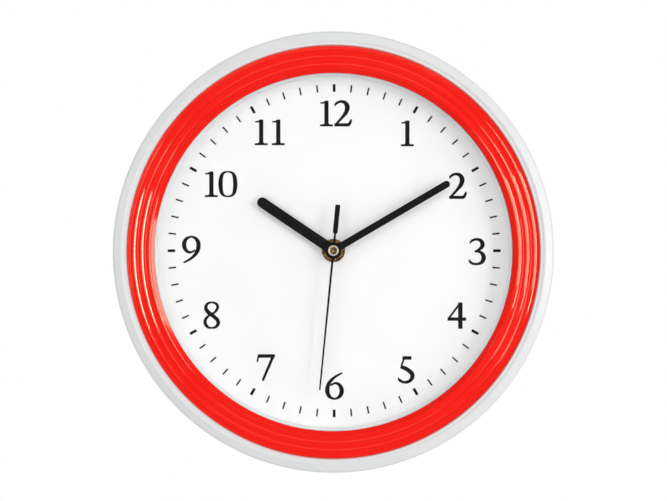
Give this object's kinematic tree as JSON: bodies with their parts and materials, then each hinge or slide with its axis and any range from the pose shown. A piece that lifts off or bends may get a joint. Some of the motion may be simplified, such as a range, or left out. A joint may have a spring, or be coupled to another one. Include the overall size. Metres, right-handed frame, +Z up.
{
  "type": "wall clock",
  "caption": "Round wall clock: white case, stepped red bezel, flat lens, numbered dial, hour, minute and second hands, battery quartz movement, keyhole hanger.",
  "frame": {"origin": "where the hanging nail's shank carries the keyhole, on the plane of the wall", "axes": "+Z up, +Y into the wall, so the dial faces -Y; +X to the right as the dial is read"},
  "size_m": [0.25, 0.04, 0.2501],
  "materials": {
    "white_case": "gloss",
    "red_bezel": "gloss",
    "lens": "polished",
    "dial_sheet": "matte",
    "black_plastic": "satin",
    "gear_plastic": "satin",
    "knob_plastic": "satin",
    "brass": "satin",
    "steel": "satin",
    "magnet": "satin",
    "copper_wire": "satin",
    "rubber": "matte",
    "hand_paint": "matte",
    "board": "satin",
    "cell_sleeve": "gloss"
  },
  "bodies": {
    "case": {"case": "white_case", "back_pan": "white_case", "spacer_ring": "white_case", "bezel": "red_bezel", "lens": "lens", "dial": "dial_sheet", "movement_housing": "black_plastic", "movement_cover": "black_plastic", "driver_chip": "black_plastic", "middle_plate": "gear_plastic", "coil_bobbin": "gear_plastic", "threaded_bushing": "brass", "brass_washer": "brass", "hex_nut": "brass", "bezel_screw_1": "steel", "bezel_screw_2": "steel", "bezel_screw_3": "steel", "bezel_screw_4": "steel", "stator": "steel", "coil_core": "steel", "quartz_crystal": "steel", "contact_positive": "steel", "contact_negative": "steel", "coil_winding": "copper_wire", "rubber_washer": "rubber", "circuit_board": "board", "battery_cell": "cell_sleeve"},
    "rotor": {"rotor_pinion": "gear_plastic", "rotor_magnet": "magnet"},
    "intermediate_wheel": {"intermediate_wheel": "gear_plastic"},
    "seconds": {"seconds_wheel": "gear_plastic", "seconds_arbor": "steel", "second_hand": "hand_paint", "second_hand_eyelet": "brass"},
    "third_wheel": {"third_wheel": "gear_plastic"},
    "centre_wheel": {"centre_wheel": "gear_plastic", "minute_pipe": "gear_plastic"},
    "minute_hand": {"minute_hand": "hand_paint"},
    "minute_wheel": {"minute_wheel": "gear_plastic"},
    "set_knob": {"set_knob": "knob_plastic"},
    "hour_wheel": {"hour_wheel": "gear_plastic"},
    "hour_hand": {"hour_hand": "hand_paint"}
  },
  "joints": [
    {"name": "second_hand_turn", "type": "hinge", "parent": "case", "child": "seconds", "pos_m": [0, 0, -0.088], "axis": [0, 1, 0], "continuous": true},
    {"name": "rotor_turn", "type": "hinge", "parent": "case", "child": "rotor", "pos_m": [-0.01251, 0, -0.07593], "axis": [0, 1, 0], "continuous": true},
    {"name": "intermediate_wheel_turn", "type": "hinge", "parent": "case", "child": "intermediate_wheel", "pos_m": [-0.00831, 0, -0.0832], "axis": [0, 1, 0], "continuous": true},
    {"name": "third_wheel_turn", "type": "hinge", "parent": "case", "child": "third_wheel", "pos_m": [0.01122, 0, -0.088], "axis": [0, 1, 0], "continuous": true},
    {"name": "centre_wheel_turn", "type": "hinge", "parent": "case", "child": "centre_wheel", "pos_m": [0, 0, -0.088], "axis": [0, 1, 0], "continuous": true},
    {"name": "minute_wheel_turn", "type": "hinge", "parent": "case", "child": "minute_wheel", "pos_m": [0.00311, 0, -0.07641], "axis": [0, 1, 0], "continuous": true},
    {"name": "hour_wheel_turn", "type": "hinge", "parent": "case", "child": "hour_wheel", "pos_m": [0, 0, -0.088], "axis": [0, 1, 0], "continuous": true},
    {"name": "minute_hand_set", "type": "hinge", "parent": "centre_wheel", "child": "minute_hand", "pos_m": [0, 0, -0.088], "axis": [0, 1, 0], "continuous": true},
    {"name": "hour_hand_set", "type": "hinge", "parent": "hour_wheel", "child": "hour_hand", "pos_m": [0, 0, -0.088], "axis": [0, 1, 0], "continuous": true},
    {"name": "set_knob_turn", "type": "hinge", "parent": "minute_wheel", "child": "set_knob", "pos_m": [0.00311, 0, -0.07641], "axis": [0, 1, 0], "continuous": true}
  ],
  "couplings": [
    {"joint": "rotor_turn", "follows": "second_hand_turn", "ratio": 30},
    {"joint": "intermediate_wheel_turn", "follows": "second_hand_turn", "ratio": -5},
    {"joint": "third_wheel_turn", "follows": "second_hand_turn", "ratio": -0.13333},
    {"joint": "centre_wheel_turn", "follows": "second_hand_turn", "ratio": 0.016667},
    {"joint": "minute_wheel_turn", "follows": "second_hand_turn", "ratio": -0.0055556},
    {"joint": "hour_wheel_turn", "follows": "second_hand_turn", "ratio": 0.0013889},
    {"joint": "hour_hand_set", "follows": "minute_hand_set", "ratio": 0.083333},
    {"joint": "set_knob_turn", "follows": "minute_hand_set", "ratio": -0.33333}
  ]
}
